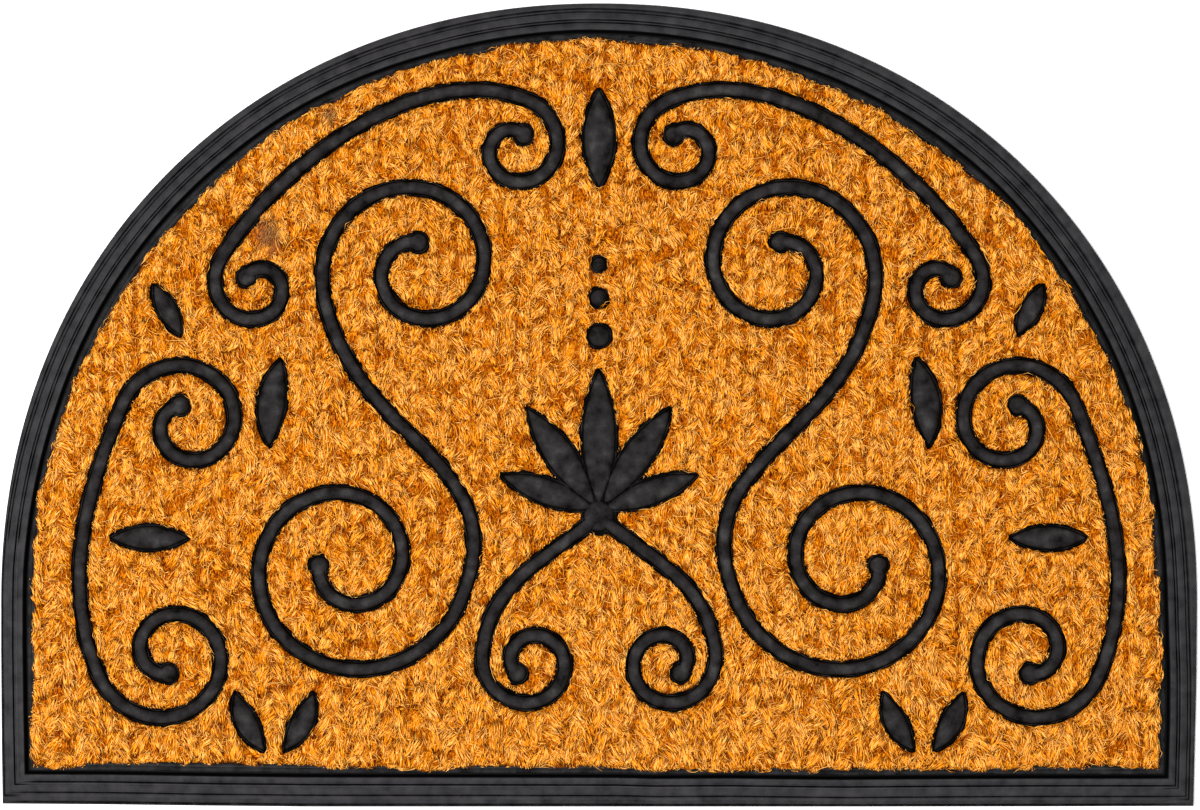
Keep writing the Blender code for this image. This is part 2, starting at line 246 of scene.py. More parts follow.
# A layer of bristles: how many a lock, half the lock's width and length in metres, how far they stray in
# degrees, their lengths, widths and heights over the bed in millimetres, their tone and how it varies, how
# much higher they stand along the lock's middle in metres, and how far they bow as a share of their length.
Layer = namedtuple("Layer", "name count half along stray length width high tone vary dome bow")
LAYERS = (
    Layer("cross", 16, 0.0036, 0.0030, 18, (3.6, 8.0), (0.40, 0.66), (-0.5, 0.4), 0.76, 0.22, 0.0005, 0.05),
    Layer("lock", 36, 0.0027, 0.0038, 6, (5.0, 9.5), (0.38, 0.62), (0.0, 1.0), 0.81, 0.20, 0.0005, 0.05),
    Layer("hair", 13, 0.0046, 0.0047, 40, (4.5, 10.0), (0.24, 0.38), (1.0, 1.9), 0.95, 0.20, 0.0, 0.10),
    # Dark slivers of painted shade, standing in for shadowed gaps between the fibres.
    Layer("shade_slivers", 13, 0.0038, 0.0052, 22, (1.3, 3.4), (0.46, 0.74), (0.8, 1.4), -0.10, 0.12, 0.0, 0.05),
)
# The share of locks with few cross bristles, how many of them those lack, the share of locks that lean the
# other way, and the share of bristles that are dark.
SHARE_OPEN = 0.12
SHARE_LOST = 0.85
SHARE_TURNED = 0.15
SHARE_DARK = 0.12
# Dark slivers of painted shade, standing in for the shadowed gaps between fibres, gather at the locks'
# roots: this share of them, in this part of the lock's half length.
SHARE_AT_ROOTS = 0.40
ROOT_BAND = 0.45
ROOT_MIDDLE = -0.80
# Bristles nearer to a lock's tip lie wider apart and higher, and are painted paler there: painted light on
# the lock's raised end.
TIP_SPREAD = 0.3
TIP_RISE = 0.0003
TIP_PAINTED_LIGHT = 0.06
# How far a lock's own tone shifts its bristles', and how much darker the dark bristles are.
LOCK_TONE = 0.035
DARK_TONE = 0.45
# How far strands may hang over the coir's edge: all of them, more in some locks, and more by chance.
OVERHANG = 0.0002
OVERHANG_BY_LOCK = 0.0008
OVERHANG_BY_CHANCE = 0.0003
OVERHANG_AT_SLOTS = 0.45
# Strands shorter than FULL_LENGTH are thinner, down to the root of THINNEST.
FULL_LENGTH = 0.0065
THINNEST = 0.3
DRAWN_IN_TIMES = 6
DRAWN_IN_SHARE = 0.25
# A strand's root sinks into the bed by ROOT_SINK less a share of the strand's height, and its tip strays.
ROOT_SINK = 0.0004
ROOT_SHARE = 0.35
TIP_STRAY = (-0.0010, 0.0002)
LEAST_ARCH = 0.0001
SHORTEST = 0.0011
# How combed the pile is, by up: smoother near the base. Then what that does to the locks' size and to the
# bristles' stray and length: the share where it isn't combed, and what is added where it is.
COMBED = ((0.0, 1.0), (0.05, 0.9), (0.09, 0.2), (0.20, 0.0))
COMBED_SIZE = (1.0, 0.2)
COMBED_STRAY = (1.15, -0.45)
COMBED_LENGTH = (0.95, 0.25)
# The coir's edges are bitten into on a coarse grid, and grow by the mean bite at the rim.
RAGGED_STEP = 0.0028
RAGGED_AT_RIM = 0.0018
RAGGED_AT_SLOTS = 0.0011
RAGGED_MEAN = 0.33

# Long loose strands, in metres where they are lengths.
LONG_STRANDS = 620
LONG_TRIES = 9
LONG_STEPS = 7
LONG_SIDES = 3
LONG_LENGTHS = (0.006, 0.016)
LONG_TURN = 1.3
LONG_RADIUS = 0.00016
LONG_LIFT = 0.0014
LONG_DROOP = 0.0010
LONG_OVER_RIM = 0.0024
LONG_OVER_SLOT = 0.0012
LONG_TONES = (0.75, 1.15)

# Brown marks in the coir: x, up and radius.
Mark = namedtuple("Mark", "x up radius")
MARKS = (Mark(-0.1650, 0.2867, 0.0085), Mark(-0.1350, 0.3464, 0.0042), Mark(-0.0640, 0.1160, 0.0030))
# Their edge is a wave, they are a little longer up than across, and they fade outwards.
MARK_WAVE = 0.25
MARK_WAVES = (0.0013, 0.0019)
MARK_FLATTENED = 0.7
MARK_SOFTNESS = 1.3


def arch(inset):
    """The superellipse arch from its right foot to its left, each point moved in along its normal."""
    turn = np.linspace(0, math.pi, ARCH_STEPS + 1)
    side = np.sign(np.cos(turn))
    across, rise = np.abs(np.cos(turn)), np.abs(np.sin(turn))
    x = HALF_WIDTH * side * across ** (2 / ARCH_POWER)
    up = SIDE_HEIGHT + ARCH_RISE * rise ** (2 / ARCH_POWER)
    normal = np.stack([side * across ** (2 - 2 / ARCH_POWER), rise ** (2 - 2 / ARCH_POWER)], axis=1)
    normal /= np.linalg.norm(normal, axis=1, keepdims=True)
    return np.stack([x, up], axis=1) - inset * normal


def outline(inset):
    """The outline moved in by inset: right side, arch, left side and base, with mitred square corners."""
    reach = HALF_WIDTH - inset
    rising = np.linspace(inset, SIDE_HEIGHT, SIDE_STEPS, endpoint=False)
    falling = np.linspace(SIDE_HEIGHT, inset, SIDE_STEPS, endpoint=False)[1:]
    along = np.linspace(-reach, reach, BASE_STEPS, endpoint=False)
    right = np.stack([np.full_like(rising, reach), rising], axis=1)
    left = np.stack([np.full_like(falling, -reach), falling], axis=1)
    base = np.stack([along, np.full_like(along, inset)], axis=1)
    return np.concatenate([right, arch(inset), left, base])


def drift(x, up, table):
    """How far each place is moved in x and up, in metres, blended between the table's directions."""
    around = np.degrees(np.arctan2(up - DRIFT_MIDDLE[1], x - DRIFT_MIDDLE[0])) % 360
    directions, *moves = np.array(table, float).T
    return np.stack([np.interp(around, directions, move) for move in moves], axis=-1) * MM


def heading(degrees):
    """The unit vector in a direction."""
    return np.array([math.cos(math.radians(degrees)), math.sin(math.radians(degrees))])


def unit(vector):
    """The vector over its length."""
    return vector / np.linalg.norm(vector)


def spiral(volute):
    """Close points from the volute's eye to its rim, on a radius that grows as a power of the way out."""
    way = np.linspace(0, 1, FINE_STEPS + 1)
    angle = math.radians(volute.leaves) - volute.sense * math.tau * volute.turns * (1 - way)
    radius = volute.eye + (volute.rim - volute.eye) * way**SPIRAL_GROWTH
    return np.stack([volute.x + radius * np.cos(angle), volute.up + radius * np.sin(angle)], axis=1)


def sweep_between(start, start_heading, end, end_heading, pull):
    """Close points on a cubic Bezier between two points, whose handles are a share of the gap long."""
    reach = np.linalg.norm(end - start) * pull
    handles = (start + start_heading * reach, end - end_heading * reach)
    t = np.linspace(0, 1, FINE_STEPS + 1)[:, None]
    near_start = (1 - t) ** 3 * start + 3 * t * (1 - t) ** 2 * handles[0]
    return near_start + 3 * t**2 * (1 - t) * handles[1] + t**3 * end


def evened(line, step):
    """The same line with its points an even step apart."""
    way = np.concatenate([[0.0], np.cumsum(np.linalg.norm(np.diff(line, axis=0), axis=1))])
    wanted = np.linspace(0, way[-1], math.ceil(way[-1] / step) + 1)
    return np.stack([np.interp(wanted, way, line[:, axis]) for axis in (0, 1)], axis=1)


def scroll_line(scroll):
    """Two spirals, rim to rim, joined by a curve that leaves and meets them along their own headings."""
    first, last = spiral(scroll.first), spiral(scroll.last)[::-1]
    leaving, arriving = unit(first[-1] - first[-2]), unit(last[1] - last[0])
    between = sweep_between(first[-1], leaving, last[0], arriving, scroll.pull)
    return evened(np.concatenate([first, between[1:-1], last]), BEAD_STEP)


def spade_line():
    """Half of the spade: a spiral, and a curve from its rim to the palmette's root."""
    volute = spiral(SPADE)
    root = np.array([0.0, ROOT_UP])
    leaving = unit(volute[-1] - volute[-2])
    between = sweep_between(volute[-1], leaving, root, heading(SPADE_ARRIVES), SPADE_PULL)
    return evened(np.concatenate([volute, between[1:]]), BEAD_STEP)


def bead_lines():
    """Every raised line and its mirror image."""
    lines = [scroll_line(scroll) for scroll in SCROLLS] + [spade_line()]
    return [line * (side, 1) for line in lines for side in (1, -1)]


def all_bosses():
    """The listed bosses, and one on the end of each bead that ends in an eye."""
    eyes = []
    for scroll in SCROLLS:
        eyes += [spiral(scroll.first)[0], spiral(scroll.last)[0]]
    eyes.append(spiral(SPADE)[0])
    return list(BOSSES) + [Boss(side * x, up, EYE_RADIUS) for x, up in eyes for side in (1, -1)]


def leaf_spine(leaf, side):
    """The leaf's middle line, its unit normals, and its half width, which is a power of a sine."""
    way = np.linspace(0, 1, LEAF_STEPS + 1)
    angle = np.radians(leaf.points + leaf.bend * (way - 0.5))
    along = np.stack([side * np.cos(angle), np.sin(angle)], axis=1)
    hops = (along[1:] + along[:-1]) / 2 * leaf.length / LEAF_STEPS
    line = np.array([side * leaf.x, leaf.up]) + np.concatenate([[(0.0, 0.0)], np.cumsum(hops, axis=0)])
    towards_tip, roundness = LEAF_FULLNESS
    half = leaf.width / 2 * np.sin(math.pi * way**towards_tip).clip(0) ** roundness + LEAF_TIP
    return line, np.stack([-along[:, 1], along[:, 0]], axis=1), half


def all_leaves():
    """Each leaf and its mirror image, unless it stands on the middle line."""
    return [leaf_spine(leaf, side) for leaf in LEAVES for side in ((1,) if leaf.x == 0 else (1, -1))]


def smooth_noise(count, period, seed):
    """Values about 1 high that wander along a row of points, each a cosine blend of two random levels."""
    levels = np.random.default_rng(seed).standard_normal(int(count / period) + 3)
    place = np.arange(count) / period
    low = place.astype(int)
    blend = (1 - np.cos(math.pi * (place - low))) / 2
    return levels[low] * (1 - blend) + levels[low + 1] * blend


def placed(x, up, height):
    """Points in the row frame, from arrays of x, up and height that have one shape."""
    x, up, height = np.broadcast_arrays(x, up, height)
    return np.stack([x, up - DEPTH / 2, height], axis=-1)


def grid_faces(rows, columns, wrap_columns=False):
    """Four corners for each cell of a grid of points that are numbered row by row."""
    j, i = np.meshgrid(np.arange(rows - 1), np.arange(columns - (not wrap_columns)), indexing="ij")
    after_i = (i + 1) % columns
    corners = (j * columns + i, j * columns + after_i, (j + 1) * columns + after_i, (j + 1) * columns + i)
    return np.stack([corner.ravel() for corner in corners], axis=1)


def tube_faces(rows, columns):
    """The faces of a grid that closes on itself along its rows, and one face over each open end."""
    first = np.arange(columns)[::-1]
    last = np.arange(columns) + (rows - 1) * columns
    return [grid_faces(rows, columns, wrap_columns=True), first[None], last[None]]


def make_piece(name, points, faces, material, attributes=(), smooth=True):
    """A mesh object from whole arrays. faces is a list of arrays, each with one count of corners a face."""
    counts = np.concatenate([np.full(len(group), group.shape[1]) for group in faces])
    corners = np.concatenate([group.ravel() for group in faces]).astype(np.int32)
    mesh = bpy.data.meshes.new(name)
    mesh.vertices.add(len(points))
    mesh.vertices.foreach_set("co", points.astype(np.float32).ravel())
    mesh.loops.add(len(corners))
    mesh.loops.foreach_set("vertex_index", corners)
    mesh.polygons.add(len(counts))
    mesh.polygons.foreach_set("loop_start", np.concatenate([[0], np.cumsum(counts)[:-1]]).astype(np.int32))
    mesh.update(calc_edges=True)
    if smooth:
        mesh.shade_smooth()
    for label, values in attributes:
        layer = mesh.attributes.new(label, "FLOAT", "POINT")
        layer.data.foreach_set("value", values.astype(np.float32).ravel())
    mesh.materials.append(material)
    piece = bpy.data.objects.new(name, mesh)
    bpy.context.scene.collection.objects.link(piece)
    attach(piece, "root")
    return piece


def joined_rubber(name, parts, material):
    """Several meshes as one piece. Each part is its points, its faces, and the painted shade at each point.
    """
    points, faces, shades, start = [], [], [], 0
    for part_points, part_faces, part_shade in parts:
        points.append(part_points.reshape(-1, 3))
        shades.append(np.broadcast_to(part_shade, part_points.shape[:2]).ravel())
        faces += [group + start for group in part_faces]
        start += len(points[-1])
    labels = [("shade", np.concatenate(shades))]
    return make_piece(name, np.concatenate(points), faces, material, labels)


def border_rows():
    """The border's insets and heights: wall, lip, a slope up to the rim, a step down, and the gutter.

    The slope is a straight line, with more rows near each groove. The gutter's ridge is a bell curve.
    """
    even = np.append(np.linspace(LIP[0], RIM[0], SLOPE_ROWS), SHADE[0][0])
    near = np.array(GROOVE_ROWS) * GROOVE_WIDTH
    slope = np.concatenate([even] + [groove.inset + near for groove in GROOVES])
    slope = np.unique(slope[slope >= LIP[0]])
    rise = np.interp(slope, (LIP[0], RIM[0]), (LIP[1], RIM[1]))
    gutter = np.linspace(GUTTER_START, GUTTER_END, GUTTER_ROWS)
    ridge = GUTTER_LIP_HEIGHT * np.exp(-(((gutter - GUTTER_LIP) / GUTTER_LIP_WIDTH) ** 2))
    slope_rows = np.stack([slope, rise], axis=1)
    gutter_rows = np.stack([gutter, FLOOR_TOP + ridge], axis=1)
    return np.concatenate([WALL_ROWS, slope_rows, STEP_ROWS, gutter_rows]).T


def groove_cuts(insets, heights, count):
    """For each groove, how deeply each row is cut at each of count points round the outline.

    It is e to the minus fourth power of the distance from the groove's middle, times its depth there.
    """
    place = np.arange(count)
    on_base = place > count - BASE_STEPS
    on_left = (place > SIDE_STEPS + ARCH_STEPS * LEFT_SIDE_FROM) & ~on_base
    on_top = (heights >= LIP[1])[:, None]
    for groove in GROOVES:
        there = np.select((on_base, on_left), (groove.on_base, groove.on_left), groove.on_arch)
        yield on_top * there * np.exp(-(((insets[:, None] - groove.inset) / GROOVE_WIDTH) ** 4))


def tray(material):
    """The border's rows carried round the outline less its grooves, with a flat floor and underside."""
    insets, heights = border_rows()
    edge = outline(0)
    height = np.repeat(heights[:, None], len(edge), axis=1)
    # Painted shade by inset, with more of it in the grooves.
    shade = np.repeat(np.interp(insets, *zip(*SHADE))[:, None], len(edge), axis=1)
    for cut in groove_cuts(insets, heights, len(edge)):
        height -= GROOVE_DEPTH * cut
        shade -= GROOVE_SHADE * cut
    share = np.interp(insets, DRIFT_FROM, (0, 1))[:, None, None]
    rings = np.stack([outline(inset) for inset in insets])
    rings = rings + share * drift(*edge.T, RIB_DRIFT) + (1 - share) * drift(*edge.T, EDGE_DRIFT)
    points = placed(rings[..., 0], rings[..., 1], height)
    rows, columns = height.shape
    labels = [("inset", np.repeat(insets, columns)), ("shade", shade)]
    faces = tube_faces(rows, columns)
    return make_piece("rubber_tray", points.reshape(-1, 3), faces, material, labels)


def bead_section():
    """The bead's (across, height) points: foot, flange, channel, and a superellipse up to its crest."""
    half = [(BEAD_HALF, RIM_HEIGHTS[0]), (BEAD_HALF, RIM_HEIGHTS[1]), (BEAD_HALF - EDGE_ROUND, FLANGE)]
    half += [(BEAD_ROUND + BEAD_FLANGE, FLANGE), (BEAD_ROUND + CHANNEL_WALL, CHANNEL)]
    for turn in np.linspace(0, math.pi / 2, BEAD_QUARTER_STEPS):
        across, rise = math.cos(turn) ** BEAD_FULLNESS, math.sin(turn) ** BEAD_FULLNESS
        half.append((BEAD_ROUND * across, CHANNEL + (CREST - CHANNEL) * rise))
    return np.array(half + [(-across, height) for across, height in half[-2::-1]])


def painted_channel_shade(height):
    """The painted shade on raised rubber by its height: black up to its channel, and black no more above
    it.
    """
    return np.interp(height, *zip(*CHANNEL_SHADE))


def bead(line, seed):
    """The bead's section carried along a line. The flange's edge wanders a little, as if trimmed."""
    ahead = np.gradient(line, axis=0)
    ahead /= np.linalg.norm(ahead, axis=1, keepdims=True)
    across = np.stack([-ahead[:, 1], ahead[:, 0]], axis=1)
    section = bead_section()
    reach = np.repeat(section[None, :, 0], len(line), axis=0)
    for side in (1, -1):
        wander = FLANGE_WANDER * smooth_noise(len(line), FLANGE_WANDER_STEPS, seed + 2 + side)
        outer = section[:, 0] * side > BEAD_ROUND + CHANNEL_WALL
        reach[:, outer] += side * wander[:, None]
    flat = line[:, None, :] + across[:, None, :] * reach[..., None]
    points = placed(flat[..., 0], flat[..., 1], section[None, :, 1])
    return points, tube_faces(*reach.shape), painted_channel_shade(section[:, 1])


def beads(material):
    """The raised lines, all in one piece."""
    parts = [bead(line, 10 * number) for number, line in enumerate(bead_lines())]
    joined_rubber("rubber_scrolls", parts, material)


def leaf_solid(line, across, half):
    """A leaf: foot, flange, channel, and a half ellipse with a crease, lower where the leaf is thin."""
    share = np.linspace(-1, 1, LEAF_ACROSS + 1)
    inner = np.maximum(half - LEAF_RIM, LEAF_BODY_SHARE * half)
    rounded = half - LEAF_EDGE_SHARE * (half - inner)
    edge = np.stack([half, half, rounded, inner + CHANNEL_WALL], axis=1)
    inner = inner[:, None]
    rise = (LEAF_CREST - CHANNEL) * (inner / LEAF_FULL_HALF).clip(0, 1) ** LEAF_RISE_POWER
    crease = 1 - LEAF_CREASE_DEPTH * np.exp(-((share / LEAF_CREASE_WIDTH) ** 2))
    body = CHANNEL + rise * np.sqrt(1 - share**2) * crease
    reach = np.concatenate([edge, -inner * share, -edge[:, ::-1]], axis=1)
    rim = np.repeat([RIM_HEIGHTS], len(half), axis=0)
    height = np.concatenate([rim, body, rim[:, ::-1]], axis=1)
    flat = line[:, None, :] + across[:, None, :] * reach[..., None]
    points = placed(flat[..., 0], flat[..., 1], height)
    return points, tube_faces(*reach.shape), painted_channel_shade(height)


def leaves(material):
    """The raised leaves, all in one piece."""
    parts = [leaf_solid(*spine) for spine in all_leaves()]
    joined_rubber("rubber_leaves", parts, material)


def boss_solid(boss):
    """A button: foot, flange, channel, and a dome that is the root of one less the squared radius."""
    inner = boss.radius - LEAF_RIM
    share = np.linspace(1, BOSS_INNERMOST, BOSS_RINGS)
    body = CHANNEL + (BOSS_CREST - CHANNEL) * np.sqrt(1 - share**2)
    edge = (boss.radius, boss.radius, boss.radius - EDGE_ROUND, inner + CHANNEL_WALL)
    radius = np.concatenate([edge, inner * share])[:, None]
    height = np.concatenate([RIM_HEIGHTS, body])[:, None]
    turn = np.arange(BOSS_SIDES) * math.tau / BOSS_SIDES
    points = placed(boss.x + radius * np.cos(turn), boss.up + radius * np.sin(turn), height)
    return points, tube_faces(len(radius), BOSS_SIDES), painted_channel_shade(height)


def bosses(material):
    """The raised buttons, all in one piece."""
    parts = [boss_solid(boss) for boss in all_bosses()]
    joined_rubber("rubber_bosses", parts, material)


def map_axes():
    """The x and up of the columns and rows of the maps that the coir is worked out on."""
    x = MAP_LOW[0] + MAP_STEP * np.arange(MAP_SIZE[0])
    up = MAP_LOW[1] + MAP_STEP * np.arange(MAP_SIZE[1])
    return x, up


def blended(values, row, column):
    """A grid's value at each place between its points, blended from the four nearest."""
    j, i = row.astype(int), column.astype(int)
    v, u = row - j, column - i
    low = values[j, i] * (1 - u) + values[j, i + 1] * u
    high = values[j + 1, i] * (1 - u) + values[j + 1, i + 1] * u
    return low * (1 - v) + high * v


def looked_up(values, x, up):
    """The map's value at each place."""
    column = ((x - MAP_LOW[0]) / MAP_STEP).clip(0, MAP_SIZE[0] - 1.001)
    row = ((up - MAP_LOW[1]) / MAP_STEP).clip(0, MAP_SIZE[1] - 1.001)
    return blended(values, row, column)


def window(x, up, reach):
    """The slices of the map within reach of a place, and the places' offsets from it."""
    axis_x, axis_up = map_axes()
    i0, i1 = np.searchsorted(axis_x, (x - reach, x + reach))
    j0, j1 = np.searchsorted(axis_up, (up - reach, up + reach))
    return (slice(j0, j1), slice(i0, i1)), axis_x[None, i0:i1] - x, axis_up[j0:j1, None] - up


def rim_clearance():
    """How far each place of the map is inside the coir's wandering outer edge.

    It is the height over the base, or the superellipse's level over its slope, whichever is less, and then
    less a few waves of smooth noise along the edge.
    """
    x, up = np.meshgrid(*map_axes())
    moved = drift(x, up, RIB_DRIFT)
    x, up = x - moved[..., 0], up - moved[..., 1]
    reach, rise = HALF_WIDTH - COIR_INSET, ARCH_RISE - COIR_INSET
    above = (up - SIDE_HEIGHT).clip(0) / rise
    across = np.abs(x) / reach
    level = (across**ARCH_POWER + above**ARCH_POWER) ** (1 / ARCH_POWER)
    slope = np.hypot(across ** (ARCH_POWER - 1) / reach, above ** (ARCH_POWER - 1) / rise)
    inside = np.minimum(up - COIR_INSET, (1 - level) * level ** (ARCH_POWER - 1) / slope.clip(1e-6))
    angle = np.arctan2(up - SIDE_HEIGHT, x)
    way = np.where(up < SIDE_HEIGHT, x + up, angle * reach)
    for number, wave in enumerate(COIR_EDGE_WAVES):
        levels = smooth_noise(EDGE_LEVELS, 1.0, SEED + number)
        place = way / wave.length + EDGE_LEVELS / 4
        inside -= wave.depth * np.interp(place, np.arange(EDGE_LEVELS), levels)
    return inside


def slot_clearance():
    """How far each place of the map is from the raised rubber, which is taken as rows of discs."""
    inside = np.full(MAP_SIZE[::-1], FAR_FROM_SLOTS)
    discs = [(*point, BEAD_HALF) for line in bead_lines() for point in line]
    discs += [(boss.x, boss.up, boss.radius) for boss in all_bosses()]
    for line, _, half in all_leaves():
        discs += [(*point, reach) for point, reach in zip(line, half)]
    for x, up, radius in discs:
        where, dx, dup = window(x, up, radius + SLOT_REACH)
        inside[where] = np.minimum(inside[where], np.hypot(dx, dup) - radius)
    return inside


def ragged(rng):
    """A map of bites in the coir's edges: the square of random levels, blended between coarse points."""
    levels = rng.random([math.ceil(count * MAP_STEP / RAGGED_STEP) + 2 for count in MAP_SIZE[::-1]])
    row = (np.arange(MAP_SIZE[1]) * MAP_STEP / RAGGED_STEP)[:, None]
    column = (np.arange(MAP_SIZE[0]) * MAP_STEP / RAGGED_STEP)[None, :]
    return blended(levels, row, column) ** 2


Locks = namedtuple("Locks", "x up lean tone rise spread cross is_open size curl")


def swirl(x, up):
    """How far the pile turns at each place, in degrees: a bent wave of 8 degrees and a slanted one of 6."""
    return 8 * np.sin(x / 0.031 + 2.0 * np.sin(up / 0.043)) + 6 * np.sin(up / 0.019 + x / 0.05)


def coir_locks(rng):
    """Locks in staggered columns. Each leans to one side by its column, with a slow swirl and chance."""
    columns = np.arange(math.ceil(2 * HALF_WIDTH / LOCK_PITCH[0]))
    rows = np.arange(math.ceil(DEPTH / LOCK_PITCH[1]) + 1)
    i, j = (grid.ravel() for grid in np.meshgrid(columns, rows))
    count = i.size
    x = -HALF_WIDTH + (i + 0.5) * LOCK_PITCH[0] + rng.normal(0, LOCK_JITTER[0], count)
    up = (j + 0.5 * (i % 2)) * LOCK_PITCH[1] + rng.normal(0, LOCK_JITTER[1], count)
    lean = 90 + LOCK_LEAN * (-1.0) ** i + swirl(x, up) + rng.normal(0, LOCK_STRAY, count)
    lean += 180 * (rng.random(count) < SHARE_TURNED)
    cross = lean + CROSS_LEAN * np.sign(rng.uniform(-1, 1, count)) + rng.normal(0, CROSS_STRAY, count)
    rise = rng.normal(0, LOCK_UNEVEN, count)
    is_open = rng.random(count) < SHARE_OPEN
    tone = rng.normal(0, 1, count)
    spread = rng.uniform(0, 1, count)
    size = rng.uniform(*LOCK_SIZES, count)
    curl = np.radians(rng.normal(0, LOCK_CURL, count))
    return Locks(x, up, lean, tone, rise, spread, cross, is_open, size, curl)


def lock_relief(locks):
    """How high the locks stand at each place of the map: a half ellipse across and along each lock."""
    relief = np.zeros(MAP_SIZE[::-1])
    for x, up, lean, size in zip(locks.x, locks.up, locks.lean, locks.size):
        half, reach = size * LOCK_HALF[0], size * LOCK_HALF[1]
        where, dx, dup = window(x, up, reach)
        c, s = heading(lean)
        along, across = (dx * c + dup * s) / reach, (dup * c - dx * s) / half
        relief[where] = np.maximum(relief[where], (1 - along**2 - across**2).clip(0) ** 0.5)
    return relief


def coir_height(clearance, relief):
    """The bed's height: its drop from the coir's top, the locks' rise, and a rounding beside each slot."""
    rounding = EDGE_DROP * np.exp(-(clearance.clip(0) / EDGE_DROP_WIDTH))
    return COIR_TOP - BED_DROP + LOCK_RISE * relief - rounding


def marked(x, up):
    """How brown the coir is at each place: 1 in the middle of a mark, and 0 past its wavy edge."""
    wavy = 1 + MARK_WAVE * np.sin(x / MARK_WAVES[0] + 2 * np.sin(up / MARK_WAVES[1]))
    stain = np.zeros(np.shape(x))
    for mark in MARKS:
        away = np.hypot(x - mark.x, MARK_FLATTENED * (up - mark.up)) / (mark.radius * wavy)
        stain = np.maximum(stain, (MARK_SOFTNESS * (1 - away)).clip(0, 1))
    return stain


def kept_cells(clearance_at_centre):
    """The bed's cells that lie in the coir, without pairs that touch only at a corner."""
    kept = clearance_at_centre > SLOT_GAP
    for _ in range(3):
        a, b, c, d = kept[:-1, :-1], kept[:-1, 1:], kept[1:, :-1], kept[1:, 1:]
        kept[:-1, :-1] &= ~(a & d & ~b & ~c)
        kept[:-1, 1:] &= ~(b & c & ~a & ~d)
    return kept


def bed_grid(clearance):
    """A square grid over the coir, and which of its cells are coir.

    The points on the coir's edge slide along the clearance's slope until they reach the slots' gap.
    """
    x, up = np.arange(*BED_X, BED_STEP), np.arange(*BED_UP, BED_STEP)
    kept = kept_cells(looked_up(clearance, *np.meshgrid((x[1:] + x[:-1]) / 2, (up[1:] + up[:-1]) / 2)))
    x, up = np.meshgrid(x, up)
    padded = np.pad(kept, 1).astype(int)
    touching = padded[:-1, :-1] + padded[:-1, 1:] + padded[1:, :-1] + padded[1:, 1:]
    on_edge = (touching > 0) & (touching < 4)
    slopes = np.gradient(clearance, MAP_STEP)
    for _ in range(BED_SLIDES):
        short = (SLOT_GAP - looked_up(clearance, x, up)) * on_edge
        slope_up, slope_x = (looked_up(slope, x, up) for slope in slopes)
        x, up = x + short * slope_x * BED_SLIDE, up + short * slope_up * BED_SLIDE
    return x, up, kept


def bed_faces(kept):
    """The kept cells' tops, their undersides, whose points come after all the tops', and the bare sides."""
    rows, columns = kept.shape
    number = np.arange((rows + 1) * (columns + 1)).reshape(rows + 1, columns + 1)
    corners = (number[:-1, :-1], number[:-1, 1:], number[1:, 1:], number[1:, :-1])
    tops = np.stack([corner[kept] for corner in corners], axis=1)
    faces = [tops, tops[:, ::-1] + number.size]
    padded = np.pad(kept, 1)
    for side, (step_j, step_i) in enumerate(((-1, 0), (0, 1), (1, 0), (0, -1))):
        beyond = padded[1 + step_j : 1 + step_j + rows, 1 + step_i : 1 + step_i + columns]
        bare = kept & ~beyond
        a, b = corners[side][bare], corners[(side + 1) % 4][bare]
        faces.append(np.stack([b, a, a + number.size, b + number.size], axis=1))
    return faces


def bed(clearance, relief, material):
    """The coir under its bristles: a relief on a square grid, slid to the slots' edges, closed below."""
    x, up, kept = bed_grid(clearance)
    top = placed(x, up, looked_up(coir_height(clearance, relief), x, up)).reshape(-1, 3)
    under = placed(x, up, FLOOR_TOP + SLOT_GAP).reshape(-1, 3)
    faces = bed_faces(kept)
    used = np.unique(np.concatenate([group.ravel() for group in faces]))
    renumber = np.zeros(2 * x.size, int)
    renumber[used] = np.arange(len(used))
    points = np.concatenate([top, under])[used]
    # The locks' relief goes to the bed's material, which paints shade where it is low.
    lift = np.concatenate([looked_up(relief, x, up).ravel(), np.zeros(x.size)])[used]
    labels = [("relief", lift), ("stain", marked(points[:, 0], points[:, 1] + DEPTH / 2))]
    return make_piece("coir_bed", points, [renumber[group] for group in faces], material, labels)


def kept_inside(root, tip, allowed):
    """Strands drawn in, a share at a time, at each end that reaches out too far, and which are kept.

    allowed(place) says where a strand may lie.
    """
    for _ in range(DRAWN_IN_TIMES):
        reach = tip - root
        root_stays = allowed(root)
        tip_stays = allowed(tip) & (allowed((root + tip) / 2) | ~root_stays)
        root = np.where(root_stays[:, None], root, root + DRAWN_IN_SHARE * reach)
        tip = np.where(tip_stays[:, None], tip, tip - DRAWN_IN_SHARE * reach)
    clear = np.all([allowed(root + share * (tip - root)) for share in (0.0, 0.25, 0.5, 0.75, 1.0)], axis=0)
    return root, tip, clear & (np.linalg.norm(tip - root, axis=1) > SHORTEST)


Strands = namedtuple("Strands", "root tip high tone width bow")


def places_on_locks(layer, locks, rng):
    """Each strand's lock, and its place from -1 to 1 across the lock and along it, from root to tip."""
    owner = np.repeat(np.arange(len(locks.x)), layer.count)
    across, along = rng.uniform(-1, 1, owner.size), rng.uniform(-1, 1, owner.size)
    # The dark slivers of painted shade gather at the locks' roots.
    if layer.name == "shade_slivers":
        at_roots = rng.random(owner.size) < SHARE_AT_ROOTS
        along = np.where(at_roots, ROOT_BAND * along + ROOT_MIDDLE, along)
    return owner, across, along


